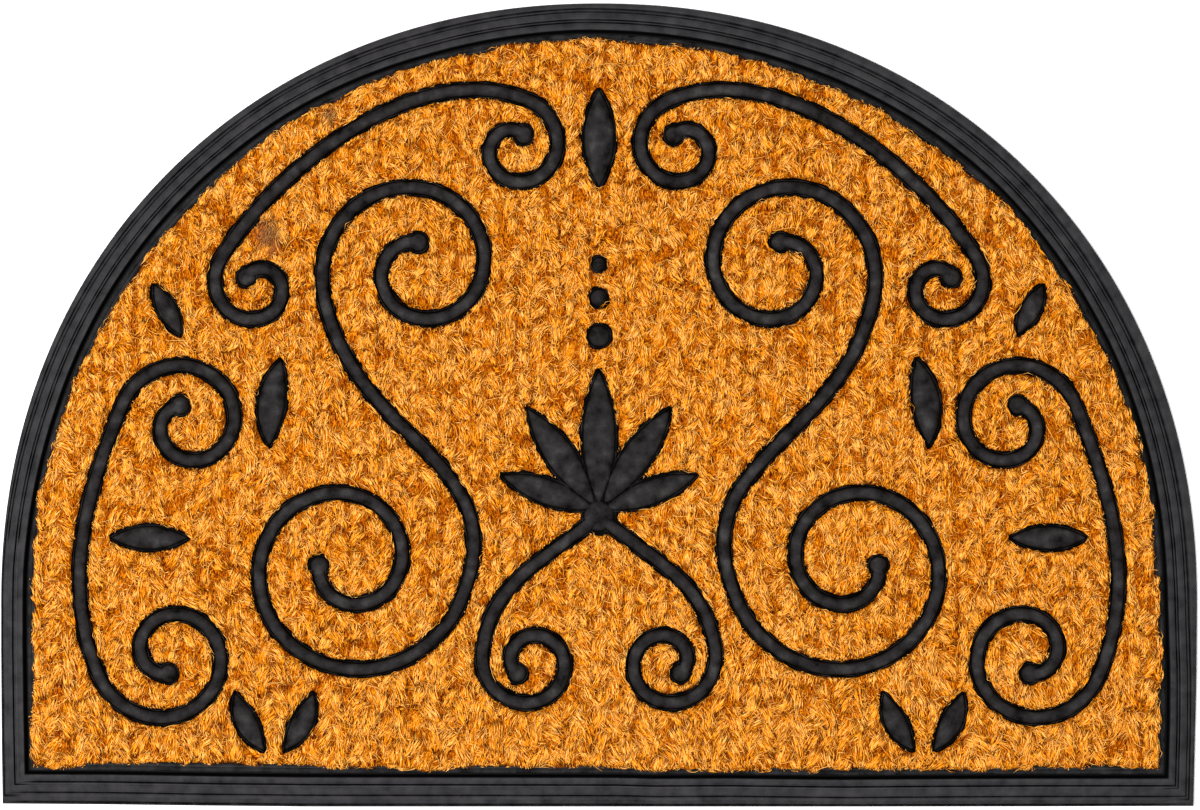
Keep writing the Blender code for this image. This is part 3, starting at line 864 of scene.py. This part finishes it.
def strand_ends(layer, locks, owner, across, along, ahead, rng):
    """Roots and tips: side by side across each lock, which curls, fans out and spreads towards its tip."""
    lean = np.radians((locks.cross if layer.name == "cross" else locks.lean)[owner])
    forward = np.stack([np.cos(lean), np.sin(lean)], axis=1)
    sideways = np.stack([-forward[:, 1], forward[:, 0]], axis=1)
    middle = np.stack([locks.x, locks.up], axis=1)[owner]
    if layer.name == "cross":
        middle = middle + np.array((0.0, LOCK_PITCH[1] / 2))
    combed = np.interp(locks.up[owner], *zip(*COMBED))
    size_share, stray_share, length_share = (
        loose + added * combed for loose, added in (COMBED_SIZE, COMBED_STRAY, COMBED_LENGTH)
    )
    size = locks.size[owner] * size_share
    curl = locks.curl[owner]
    middle = middle + forward * (size * layer.along * along)[:, None]
    fan = layer.half * across * (1 + TIP_SPREAD * ahead)
    middle += sideways * (size * (fan + layer.along * curl * along**2 / 2))[:, None]
    stray = rng.normal(0, layer.stray, owner.size) * stray_share
    angle = lean + curl * along + np.radians(stray + LOCK_FAN * across)
    half = rng.uniform(*layer.length, owner.size) * length_share * MM / 2
    reach = np.stack([np.cos(angle), np.sin(angle)], axis=1) * half[:, None]
    return middle - reach, middle + reach


def layer_of_strands(layer, rim, slots, locks, rng):
    """One layer's strands, kept over the coir. Those of a lock get higher towards its tip, and painted
    light makes them paler there.
    """
    owner, across, along = places_on_locks(layer, locks, rng)
    count = owner.size
    ahead = along if layer.name == "lock" else np.zeros(count)
    root, tip = strand_ends(layer, locks, owner, across, along, ahead, rng)
    over = OVERHANG + OVERHANG_BY_LOCK * locks.spread[owner]
    over += OVERHANG_BY_CHANCE * np.abs(rng.normal(0, 1, count))

    def allowed(place):
        over_rim = looked_up(rim, *place.T) > -over
        return over_rim & (looked_up(slots, *place.T) > -OVERHANG_AT_SLOTS * over)

    root, tip, keep = kept_inside(root, tip, allowed)
    if layer.name == "cross":
        keep &= ~(locks.is_open[owner] & (rng.random(count) < SHARE_LOST))
    high = rng.uniform(*layer.high, count) * MM + layer.dome * (1 - across**2)
    high = high + locks.rise[owner] + TIP_RISE * ahead
    tone = layer.tone + LOCK_TONE * locks.tone[owner] + layer.vary * rng.normal(0, 1, count)
    # Painted light: bristles towards a lock's tip are paler.
    tone = tone + TIP_PAINTED_LIGHT * ahead - DARK_TONE * (rng.random(count) < SHARE_DARK)
    length = np.linalg.norm(tip - root, axis=1)
    width = rng.uniform(*layer.width, count) * MM * np.sqrt((length / FULL_LENGTH).clip(THINNEST, 1))
    bow = rng.normal(0, layer.bow, count)
    return Strands(*(values[keep] for values in (root, tip, high, tone, width, bow)))


# Faces and tones of one strand. A splinter is a flat sliver that may roll, and a spindle has a ridge. The
# tones are painted shade at a strand's root, where the others shade it, and painted light, a little paler,
# at its tip and a spindle's ridge.
SPLINTER = np.array(((0, 1, 2), (1, 3, 2), (0, 2, 3), (0, 3, 1)))
SPLINTER_PAINTED_SHADING = (-0.14, 0.0, 0.0, 0.04)
SPLINTER_ROLL = 0.35
SPINDLE_HEIGHT = 0.6
SPINDLE = np.array(((0, 2, 1), (0, 3, 2), (0, 1, 3), (4, 1, 2), (4, 2, 3), (4, 3, 1)))
SPINDLE_PAINTED_SHADING = (-0.16, 0.0, 0.0, 0.04, 0.04)


def measured(strands, surface, rng):
    """Each strand's unit normal in the plane, its length, and the heights of its root, middle and tip."""
    reach = strands.tip - strands.root
    length = np.linalg.norm(reach, axis=1)
    beside = np.stack([-reach[:, 1], reach[:, 0]], axis=1) / length[:, None]
    root = looked_up(surface, *strands.root.T) - ROOT_SINK + ROOT_SHARE * strands.high
    tip = looked_up(surface, *strands.tip.T) + strands.high + rng.uniform(*TIP_STRAY, len(length))
    middle = looked_up(surface, *((strands.root + strands.tip) / 2).T) + strands.high
    return beside, length, root, np.maximum(middle, (root + tip) / 2 + LEAST_ARCH), tip


def splinters(strands, surface, rng):
    """Thin four sided solids: a root, two points beside the middle, which roll a little, and a tip."""
    beside, _, root, middle, tip = measured(strands, surface, rng)
    half = beside * (strands.width / 2)[:, None]
    roll = strands.width * rng.uniform(-SPLINTER_ROLL, SPLINTER_ROLL, len(root))
    centre = (strands.root + strands.tip) / 2
    spots = (
        (strands.root, root),
        (centre - half, middle - roll),
        (centre + half, middle + roll),
        (strands.tip, tip),
    )
    return np.stack([placed(*flat.T, height) for flat, height in spots], axis=1)


def spindles(strands, surface, rng):
    """Solids of six faces, bent at the middle: a root, a triangle of points half way along, and a tip."""
    beside, length, root, middle, tip = measured(strands, surface, rng)
    half = beside * (strands.width / 2)[:, None]
    centre = (strands.root + strands.tip) / 2 + beside * (strands.bow * length)[:, None]
    spots = (
        (strands.root, root),
        (centre - half, middle),
        (centre + half, middle),
        (centre, middle + strands.width * SPINDLE_HEIGHT),
        (strands.tip, tip),
    )
    return np.stack([placed(*flat.T, height) for flat, height in spots], axis=1)


def strand_piece(name, points, pattern, tones, stain, material):
    """Many strands as one mesh: the same faces for each, renumbered."""
    faces = (pattern[None] + points.shape[1] * np.arange(len(points))[:, None, None]).reshape(-1, 3)
    labels = [("tone", tones), ("stain", np.repeat(stain, points.shape[1]))]
    return make_piece(name, points.reshape(-1, 3), [faces], material, labels, smooth=False)


def bristles(rim, slots, surface, locks, rng, material):
    """Bristles in layers: cross locks below, the locks themselves, dark slivers of painted shade, and bent
    hairs over them.
    """
    layers = {layer.name: layer_of_strands(layer, rim, slots, locks, rng) for layer in LAYERS}
    hairs = layers.pop("hair")
    straight = Strands(*(np.concatenate(values) for values in zip(*layers.values())))
    points = splinters(straight, surface, rng)
    # Each strand's tone, with painted shade at its root and painted light at its tip.
    tones = straight.tone[:, None] + np.array(SPLINTER_PAINTED_SHADING)
    stain = marked(*((straight.root + straight.tip) / 2).T)
    order = np.argsort(straight.root[:, 0], kind="stable")
    pieces = []
    for number, chosen in enumerate(np.array_split(order, BRISTLE_PIECES)):
        name = f"coir_bristles_{number + 1}"
        pieces.append(strand_piece(name, points[chosen], SPLINTER, tones[chosen], stain[chosen], material))
    points, tones = spindles(hairs, surface, rng), hairs.tone[:, None] + np.array(SPINDLE_PAINTED_SHADING)
    stain = marked(*((hairs.root + hairs.tip) / 2).T)
    return pieces + [strand_piece("coir_hairs", points, SPINDLE, tones, stain, material)]


def long_strand_lines(rim, slots, rng):
    """Lines with an even step and a steady turn, kept where they lie over the coir, and their headings."""
    count = LONG_TRIES * LONG_STRANDS
    x, up = rng.uniform(-0.29, 0.29, count), rng.uniform(0.015, 0.39, count)
    length = rng.uniform(*LONG_LENGTHS, count)
    way = np.linspace(-0.5, 0.5, LONG_STEPS + 1)
    angle = rng.uniform(0, math.tau, count)[:, None] + rng.normal(0, LONG_TURN, count)[:, None] * way
    hop = np.stack([np.cos(angle), np.sin(angle)], axis=-1) * (length / LONG_STEPS)[:, None, None]
    line = np.cumsum(hop, axis=1) + np.stack([x, up], axis=1)[:, None, :]
    over_rim = looked_up(rim, line[..., 0], line[..., 1]).min(axis=1)
    over_slot = looked_up(slots, line[..., 0], line[..., 1]).min(axis=1)
    kept = np.flatnonzero((over_rim > -LONG_OVER_RIM) & (over_slot > -LONG_OVER_SLOT))[:LONG_STRANDS]
    return way, line[kept], angle[kept]


def long_strands(rim, slots, surface, rng, material):
    """Loose strands on top: three sided tubes that taper by a fourth power and droop by a square."""
    way, line, angle = long_strand_lines(rim, slots, rng)
    high = looked_up(surface, line[..., 0], line[..., 1]).max(axis=1, keepdims=True)
    height = high + LONG_LIFT - LONG_DROOP * (2 * np.abs(way)) ** 2
    beside = np.stack([-np.sin(angle), np.cos(angle)], axis=-1)
    radius = LONG_RADIUS * (1.02 - (2 * np.abs(way)) ** 4)
    turn = np.arange(LONG_SIDES) * math.tau / LONG_SIDES
    out = (radius[:, None] * np.cos(turn))[None, :, :, None]
    flat = line[:, :, None, :] + beside[:, :, None, :] * out
    points = placed(flat[..., 0], flat[..., 1], height[:, :, None] + radius[:, None] * np.sin(turn))
    starts = LONG_SIDES * (LONG_STEPS + 1) * np.arange(len(line))
    faces = [
        (group[None] + starts[:, None, None]).reshape(-1, group.shape[1])
        for group in tube_faces(LONG_STEPS + 1, LONG_SIDES)
    ]
    tones = np.repeat(rng.uniform(*LONG_TONES, len(line)), LONG_SIDES * (LONG_STEPS + 1))
    labels = [("tone", tones), ("stain", np.zeros(len(tones)))]
    return make_piece("coir_long_strands", points.reshape(-1, 3), faces, material, labels)


def shader(tree, kind, inputs=None, **settings):
    """A shader node with its settings. Each input is a value, or another node's socket to link."""
    made = tree.nodes.new(kind)
    for name, value in settings.items():
        setattr(made, name, value)
    for name, value in (inputs or {}).items():
        if isinstance(value, bpy.types.NodeSocket):
            tree.links.new(value, made.inputs[name])
        else:
            made.inputs[name].default_value = value
    return made


def new_material(name):
    """A material, its node tree and its surface shader."""
    material = bpy.data.materials.new(name)
    material.use_nodes = True
    tree = material.node_tree
    return material, tree, tree.nodes["Principled BSDF"]


def new_group(name, inputs, outputs):
    """A node group with its input and output sockets, each a name and a kind."""
    tree = bpy.data.node_groups.new(name, "ShaderNodeTree")
    for label, kind in inputs:
        tree.interface.new_socket(label, in_out="INPUT", socket_type=kind)
    for label, kind in outputs:
        tree.interface.new_socket(label, in_out="OUTPUT", socket_type=kind)
    return tree, tree.nodes.new("NodeGroupInput"), tree.nodes.new("NodeGroupOutput")


def ramp(tree, factor, stops):
    """A colour ramp. Each stop is a place and a colour."""
    made = shader(tree, "ShaderNodeValToRGB", {"Fac": factor})
    elements = made.color_ramp.elements
    while len(elements) < len(stops):
        elements.new(0.5)
    for element, (place, colour) in zip(elements, stops):
        element.position = place
        element.color = (*colour, 1.0)
    return made.outputs["Color"]


BLOOM_SCALE = 150.0


def moulded_rubber_group():
    """Mottle is the cloudy bloom on the rubber, and Height is its fine pitted grain."""
    given = (("Vector", "NodeSocketVector"), ("Grain", "NodeSocketFloat"))
    made = (("Mottle", "NodeSocketFloat"), ("Height", "NodeSocketFloat"))
    tree, given, result = new_group("moulded_rubber", given, made)
    place = given.outputs["Vector"]
    bloom = shader(tree, "ShaderNodeTexNoise", {"Vector": place, "Scale": BLOOM_SCALE, "Detail": 6.0})
    grain = {"Vector": place, "Scale": given.outputs["Grain"], "Detail": 3.0}
    grain = shader(tree, "ShaderNodeTexNoise", grain)
    tree.links.new(bloom.outputs["Fac"], result.inputs["Mottle"])
    tree.links.new(grain.outputs["Fac"], result.inputs["Height"])
    return tree


def mapped(tree, value, before, after):
    """A value carried from one range to another, and clamped there."""
    inputs = {"Value": value, "From Min": before[0], "From Max": before[1]}
    inputs.update({"To Min": after[0], "To Max": after[1]})
    return shader(tree, "ShaderNodeMapRange", inputs).outputs["Result"]


def carried(tree, name):
    """A value that the piece's mesh carries at its points."""
    return shader(tree, "ShaderNodeAttribute", attribute_name=name).outputs["Fac"]


def summed(tree, first, second):
    """Two values added."""
    return shader(tree, "ShaderNodeMath", {0: first, 1: second}, operation="ADD").outputs["Value"]


FAINT_SHINE = 0.03
SPECKLE = 0.12
GRAIN_STRENGTH = 0.25
GRAIN_DEPTH = 0.0002


def finished_rubber(tree, surface, look, tone, stops, rough):
    """Colour by the tone with the grain as speckles, roughness by the bloom, and the grain as a bump."""
    speckles = mapped(tree, look.outputs["Height"], (0.3, 0.7), (-SPECKLE, SPECKLE))
    speckled = summed(tree, tone, speckles)
    tree.links.new(ramp(tree, speckled, stops), surface.inputs["Base Color"])
    tree.links.new(mapped(tree, look.outputs["Mottle"], (0.3, 0.7), rough), surface.inputs["Roughness"])
    grain = {"Strength": GRAIN_STRENGTH, "Distance": GRAIN_DEPTH, "Height": look.outputs["Height"]}
    tree.links.new(shader(tree, "ShaderNodeBump", grain).outputs["Normal"], surface.inputs["Normal"])
    surface.inputs["Specular IOR Level"].default_value = FAINT_SHINE


def border_material(group):
    """Dusty black rubber with faint lines along the border, and painted shade: black at the foot of the
    rim, dark in the gutter, on the floor and in the grooves.
    """
    material, tree, surface = new_material("border_rubber")
    place = shader(tree, "ShaderNodeTexCoord").outputs["Object"]
    look = shader(tree, "ShaderNodeGroup", {"Vector": place, "Grain": 2600.0}, node_tree=group)
    inset = carried(tree, "inset")
    lines = {"W": inset, "Scale": 1500.0, "Detail": 3.0}
    lines = shader(tree, "ShaderNodeTexNoise", lines, noise_dimensions="1D").outputs["Fac"]
    lined = mapped(tree, lines, (0.35, 0.65), (-0.14, 0.14))
    # The shade attribute is painted shade at the rim's foot, in the gutter, on the floor and in the
    # grooves.
    shade = carried(tree, "shade")
    tone = summed(tree, summed(tree, look.outputs["Mottle"], lined), shade)
    stops = (
        (0.0, (0.001, 0.001, 0.001)),
        (0.30, (0.0155, 0.0148, 0.0160)),
        (0.75, (0.0345, 0.033, 0.0345)),
    )
    finished_rubber(tree, surface, look, tone, stops, (0.50, 0.62))
    return material


def scroll_material(group):
    """Matt black rubber with a cloudy bloom, and painted shade that makes it black in the channels."""
    material, tree, surface = new_material("scroll_rubber")
    place = shader(tree, "ShaderNodeTexCoord").outputs["Object"]
    look = shader(tree, "ShaderNodeGroup", {"Vector": place, "Grain": 2200.0}, node_tree=group)
    # The shade attribute is painted shade: black in the channels and dim on the flanges.
    shade = carried(tree, "shade")
    tone = summed(tree, mapped(tree, look.outputs["Mottle"], (0.28, 0.72), (0.05, 0.95)), shade)
    stops = (
        (0.0, (0.0005, 0.0004, 0.0004)),
        (0.30, (0.0085, 0.0075, 0.0078)),
        (0.65, (0.0172, 0.0158, 0.0162)),
        (1.00, (0.0350, 0.0340, 0.0335)),
    )
    finished_rubber(tree, surface, look, tone, stops, (0.55, 0.68))
    return material


COIR_TONES = (
    (0.00, (0.070, 0.007, 0.0001)),
    (0.25, (0.390, 0.083, 0.0008)),
    (0.50, (0.720, 0.235, 0.004)),
    (0.75, (0.815, 0.312, 0.0155)),
    (1.00, (0.860, 0.435, 0.097)),
)
STAIN_COLOUR = (0.150, 0.060, 0.030)
STAIN_STRENGTH = 0.8


# A Mix node's sockets for colours.
MIX_FIRST = 6
MIX_SECOND = 7
MIX_RESULT = 2


def coir_colour_group():
    """Colour by tone, which slow patches shift, then drawn to brown by the stain."""
    given = (("Tone", "NodeSocketFloat"), ("Stain", "NodeSocketFloat"))
    tree, given, result = new_group("coir_colour", given, (("Color", "NodeSocketColor"),))
    place = shader(tree, "ShaderNodeTexCoord").outputs["Object"]
    patch = shader(tree, "ShaderNodeTexNoise", {"Vector": place, "Scale": 26.0, "Detail": 3.0})
    shift = mapped(tree, patch.outputs["Fac"], (0.3, 0.7), (-0.05, 0.05))
    colour = ramp(tree, summed(tree, given.outputs["Tone"], shift), COIR_TONES)
    mixed = shader(tree, "ShaderNodeMix", {0: given.outputs["Stain"]}, data_type="RGBA")
    tree.links.new(colour, mixed.inputs[MIX_FIRST])
    mixed.inputs[MIX_SECOND].default_value = (*STAIN_COLOUR, 1.0)
    tree.links.new(mixed.outputs[MIX_RESULT], result.inputs["Color"])
    return tree


def coloured(tree, colours, tone):
    """The coir's colour for a tone, browned by the piece's stain."""
    stain = mapped(tree, carried(tree, "stain"), (0.0, 1.0), (0.0, STAIN_STRENGTH))
    inputs = {"Tone": tone, "Stain": stain}
    return shader(tree, "ShaderNodeGroup", inputs, node_tree=colours).outputs["Color"]


def bristle_material(colours):
    """Coir bristles: each has its own tone, from brown to pale gold, with painted shade that darkens it at
    its root.
    """
    material, tree, surface = new_material("coir_bristle")
    tone = carried(tree, "tone")
    tree.links.new(coloured(tree, colours, tone), surface.inputs["Base Color"])
    surface.inputs["Roughness"].default_value = 0.75
    surface.inputs["Specular IOR Level"].default_value = FAINT_SHINE
    return material


def bed_material(colours):
    """The coir under the bristles: fibres drawn as stretched noise, and painted shade that makes it dark,
    darkest between the locks where its relief is low.
    """
    material, tree, surface = new_material("coir_bed")
    place = shader(tree, "ShaderNodeTexCoord").outputs["Object"]
    stretched = shader(tree, "ShaderNodeMapping", {"Vector": place, "Scale": (2400.0, 500.0, 900.0)})
    fibres = {"Vector": stretched.outputs["Vector"], "Scale": 1.0, "Detail": 3.0, "Distortion": 1.2}
    fibres = shader(tree, "ShaderNodeTexNoise", fibres).outputs["Fac"]
    relief = carried(tree, "relief")
    streaks = mapped(tree, fibres, (0.35, 0.65), (-0.30, 0.30))
    # Painted shade: the bed is dark, and darker still where the relief is low between the locks.
    tone = summed(tree, mapped(tree, relief, (0.2, 1.0), (0.16, 0.42)), streaks)
    tree.links.new(coloured(tree, colours, tone), surface.inputs["Base Color"])
    rough = shader(tree, "ShaderNodeBump", {"Strength": 0.8, "Distance": 0.0006, "Height": fibres})
    tree.links.new(rough.outputs["Normal"], surface.inputs["Normal"])
    surface.inputs["Roughness"].default_value = 0.85
    surface.inputs["Specular IOR Level"].default_value = FAINT_SHINE
    return material


FLOOR_HALF = 4
FLOOR_DROP = 0.0003


def floor_piece():
    """A pale, very faintly clouded plane just under the mat."""
    material, tree, surface = new_material("pale_floor")
    place = shader(tree, "ShaderNodeTexCoord").outputs["Object"]
    grain = shader(tree, "ShaderNodeTexNoise", {"Vector": place, "Scale": 3.0})
    stops = ((0.3, (0.93, 0.93, 0.93)), (0.7, (0.95, 0.95, 0.95)))
    tree.links.new(ramp(tree, grain.outputs["Fac"], stops), surface.inputs["Base Color"])
    surface.inputs["Roughness"].default_value = 0.9
    mesh = bpy.data.meshes.new("floor")
    signs = ((-1, -1), (1, -1), (1, 1), (-1, 1))
    corners = [(x * FLOOR_HALF, y * FLOOR_HALF, -FLOOR_DROP) for x, y in signs]
    mesh.from_pydata(corners, [], [(0, 1, 2, 3)])
    mesh.materials.append(material)
    floor = bpy.data.objects.new("floor", mesh)
    bpy.context.scene.collection.objects.link(floor)


def light(name, size, power, place):
    """A square soft light that faces the mat."""
    data = bpy.data.lights.new(name, "AREA")
    data.size = size
    data.energy = power
    made = bpy.data.objects.new(name, data)
    made.location = place
    made.rotation_euler = (-made.location).to_track_quat("-Z", "Y").to_euler()
    bpy.context.scene.collection.objects.link(made)


def studio():
    """White surroundings, a wide soft light overhead and a smaller one from the left."""
    world = bpy.data.worlds.new("studio")
    world.use_nodes = True
    world.node_tree.nodes["Background"].inputs["Color"].default_value = (1.0, 1.0, 1.0, 1.0)
    world.node_tree.nodes["Background"].inputs["Strength"].default_value = 0.45
    bpy.context.scene.world = world
    bpy.context.scene.view_settings.view_transform = "Standard"
    light("overhead", size=2.2, power=50.0, place=(-0.22, -0.36, 2.4))
    light("key", size=0.45, power=46.0, place=(-0.76, -0.12, 2.05))


# The photograph is 1200 pixels wide and 810 high, and the mat reaches across 1196 of them.
PHOTO_WIDTH = 1200
MAT_PIXELS = 1196
MAT_MIDDLE = 599.0
LENS = 100.0
SENSOR = 36.0


def camera():
    """Straight above the mat, at the height where its outline is as wide as in the photograph."""
    seen = 2 * HALF_WIDTH * PHOTO_WIDTH / MAT_PIXELS
    data = bpy.data.cameras.new("camera")
    data.lens = LENS
    data.sensor_width = SENSOR
    made = bpy.data.objects.new("camera", data)
    shift = (PHOTO_WIDTH / 2 - MAT_MIDDLE) / MAT_PIXELS * 2 * HALF_WIDTH
    made.location = (shift, 0.0, seen * LENS / SENSOR + WALL_TOP)
    bpy.context.scene.collection.objects.link(made)
    bpy.context.scene.camera = made


def main():
    """The rubber pieces, then the coir's maps, its bed, and the pile that lies on it."""
    camera()
    studio()
    floor_piece()
    group = moulded_rubber_group()
    scroll_rubber = scroll_material(group)
    moulded = tray(border_material(group))
    beads(scroll_rubber)
    leaves(scroll_rubber)
    bosses(scroll_rubber)
    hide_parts("rubber_moulding")
    rng = np.random.default_rng(SEED)
    bites = ragged(rng)
    rim = rim_clearance() - RAGGED_AT_RIM * (bites - RAGGED_MEAN)
    slots = slot_clearance() - RAGGED_AT_SLOTS * bites
    clearance = np.minimum(rim, slots)
    locks = coir_locks(rng)
    relief = lock_relief(locks)
    surface = coir_height(clearance, relief)
    colours = coir_colour_group()
    bristle = bristle_material(colours)
    coir = bed(clearance, relief, bed_material(colours))
    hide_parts("coir_panel")
    pile = bristles(rim, slots, surface, locks, rng, bristle)
    pile.append(long_strands(rim, slots, surface, rng, bristle))


main()
